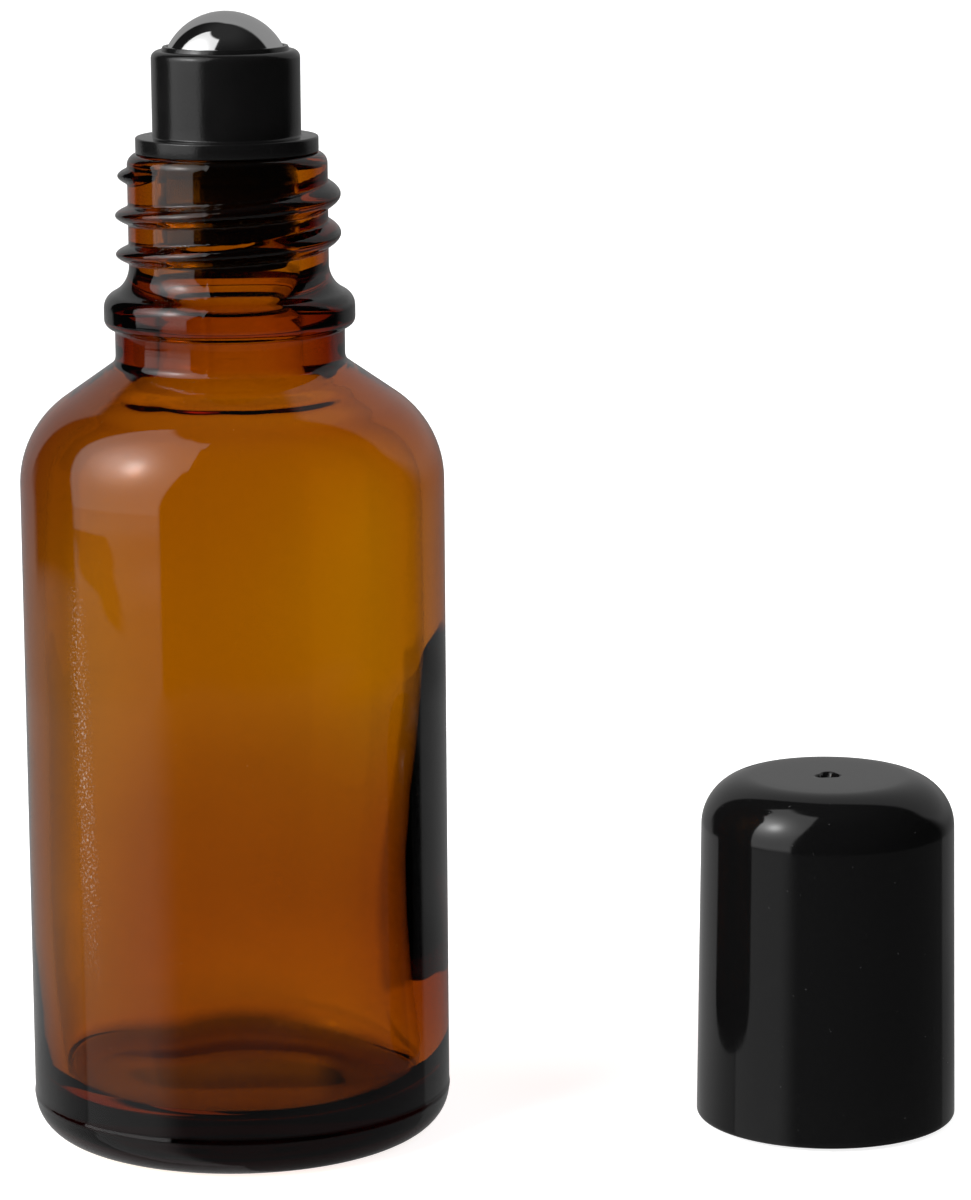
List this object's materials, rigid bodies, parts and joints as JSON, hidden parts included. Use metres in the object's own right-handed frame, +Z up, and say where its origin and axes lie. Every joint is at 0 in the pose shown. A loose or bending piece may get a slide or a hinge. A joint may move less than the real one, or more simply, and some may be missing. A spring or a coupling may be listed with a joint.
{
  "type": "roll on bottle",
  "caption": "Amber glass roll on bottle with a threaded neck, a press-in roller housing, a steel ball and a screw cap that stands beside it.",
  "frame": {"origin": "centre of the ring that the bottle stands on", "axes": "+Z up along the bottle's axis, +X from the bottle towards the cap that stands beside it, +Y away from the front"},
  "size_m": [0.0734, 0.033, 0.0883],
  "materials": {
    "amber_glass": "clear amber glass, smooth",
    "black_housing_plastic": "satin black polyethylene",
    "polished_steel": "polished stainless steel",
    "black_cap_plastic": "glossy black polypropylene"
  },
  "bodies": {
    "bottle": {"bottle": "amber_glass"},
    "housing": {"roller_housing": "black_housing_plastic"},
    "ball": {"roller_ball": "polished_steel"},
    "cap": {"cap": "black_cap_plastic"}
  },
  "joints": [
    {"name": "housing_pull", "type": "slide", "parent": "bottle", "child": "housing", "axis": [0, 0, 1], "range_m": [0, 0.02]},
    {"name": "ball_roll", "type": "hinge", "parent": "housing", "child": "ball", "pos_m": [0, 0, 0.0833], "axis": [1, 0, 0], "continuous": true},
    {"name": "cap_lift", "type": "slide", "parent": "bottle", "child": "cap", "axis": [0, 0, 1], "range_m": [0, 0.09]}
  ]
}
